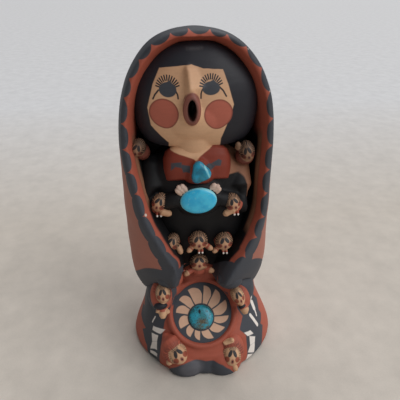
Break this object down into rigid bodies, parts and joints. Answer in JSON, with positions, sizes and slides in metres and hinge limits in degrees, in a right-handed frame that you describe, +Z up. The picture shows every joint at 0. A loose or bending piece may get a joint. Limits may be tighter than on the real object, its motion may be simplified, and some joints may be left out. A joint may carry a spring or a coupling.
{
  "type": "storyteller figurine",
  "caption": "Hooded clay figure of a singing woman wrapped in a shawl, with small children on her, a tilted round disc in her lap and inset turquoise stones.",
  "frame": {"origin": "in the flat underside, below the head", "axes": "+Z up along the figure, +X to the viewer's right when facing it, -Y is where the figure faces"},
  "size_m": [0.114, 0.1073, 0.235],
  "materials": {
    "clay": "matt fired clay painted with slips",
    "turquoise": "polished"
  },
  "bodies": {
    "root": {"clay_figure": "clay", "turquoise_pendant": "turquoise", "turquoise_oval": "turquoise", "turquoise_round": "turquoise"}
  },
  "joints": []
}
